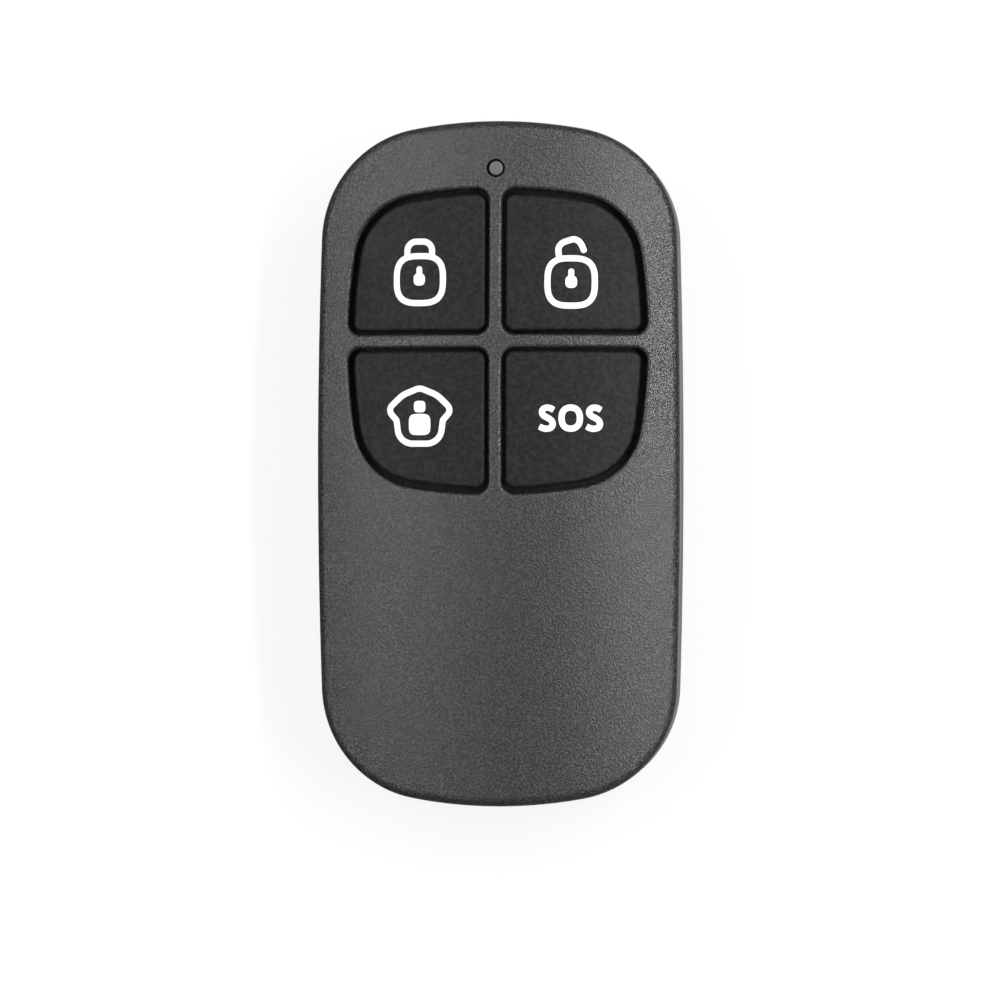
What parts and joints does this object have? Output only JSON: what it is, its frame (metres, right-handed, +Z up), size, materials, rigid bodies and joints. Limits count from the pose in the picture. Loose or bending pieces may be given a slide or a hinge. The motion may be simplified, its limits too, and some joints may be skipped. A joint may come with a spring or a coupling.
{
  "type": "alarm key fob",
  "caption": "Pocket remote for an alarm: crowned plastic case with sprung keys in a cross-shaped web, a light, a coin cell behind a twist-off door and a lanyard pin.",
  "frame": {"origin": "centre of the flat back, on the surface that the fob lies on", "axes": "+Z up out of the back towards the keys, +Y along the case towards the light, +X to the right when the keys are looked at with the light at the top"},
  "size_m": [0.0308, 0.058, 0.0105],
  "materials": {
    "casing": "fine spark-eroded texture, anthracite",
    "keys": "soft matt black with white legends",
    "silicone": "translucent grey silicone",
    "carbon": "conductive carbon rubber",
    "seal": "black silicone seal",
    "board": "green solder mask on glass-epoxy",
    "gold": "gold-plated copper",
    "chip": "moulded epoxy package",
    "ceramic_chip": "sintered ceramic chips",
    "tin": "tinned and nickel-plated lids",
    "clear": "smoked frosted acrylic",
    "lamp": "white chip package",
    "cell_steel": "nickel-plated steel",
    "cell_ring": "moulded sealing ring",
    "spring": "bright spring steel strip",
    "steel": "plain stainless steel"
  },
  "bodies": {
    "case": {"front_cover": "casing", "rear_cover": "casing", "lanyard_pin": "steel", "case_screws": "steel", "keypad_mat": "silicone", "circuit_board": "board", "contact_pads": "gold", "antenna_loop": "gold", "encoder_chip": "chip", "rf_transistor": "chip", "saw_resonator": "tin", "crystal": "tin", "chip_capacitors": "ceramic_chip", "chip_resistors": "ceramic_chip", "led": "lamp", "light_pipe": "clear", "cell_can": "cell_steel", "cell_gasket": "cell_ring", "cell_cap": "cell_steel", "negative_contact": "spring", "positive_contact": "spring", "dome_arm": "silicone", "dome_disarm": "silicone", "dome_home": "silicone", "dome_sos": "silicone"},
    "battery_door": {"battery_door": "casing", "door_seal": "seal"},
    "key_arm": {"key_arm": "keys", "contact_pill_arm": "carbon"},
    "key_disarm": {"key_disarm": "keys", "contact_pill_disarm": "carbon"},
    "key_home": {"key_home": "keys", "contact_pill_home": "carbon"},
    "key_sos": {"key_sos": "keys", "contact_pill_sos": "carbon"}
  },
  "joints": [
    {"name": "press_arm", "type": "slide", "parent": "case", "child": "key_arm", "axis": [0, 0, -1], "range_m": [0, 0.0008], "stiffness_N_per_m": 700, "springref_m": -0.0005, "deforming": ["dome_arm"]},
    {"name": "press_disarm", "type": "slide", "parent": "case", "child": "key_disarm", "axis": [0, 0, -1], "range_m": [0, 0.0008], "stiffness_N_per_m": 700, "springref_m": -0.0005, "deforming": ["dome_disarm"]},
    {"name": "press_home", "type": "slide", "parent": "case", "child": "key_home", "axis": [0, 0, -1], "range_m": [0, 0.0008], "stiffness_N_per_m": 700, "springref_m": -0.0005, "deforming": ["dome_home"]},
    {"name": "press_sos", "type": "slide", "parent": "case", "child": "key_sos", "axis": [0, 0, -1], "range_m": [0, 0.0008], "stiffness_N_per_m": 700, "springref_m": -0.0005, "deforming": ["dome_sos"]},
    {"name": "turn_battery_door", "type": "hinge", "parent": "case", "child": "battery_door", "pos_m": [0, -0.013, 0], "axis": [0, 0, -1], "range_deg": [0, 35]}
  ]
}
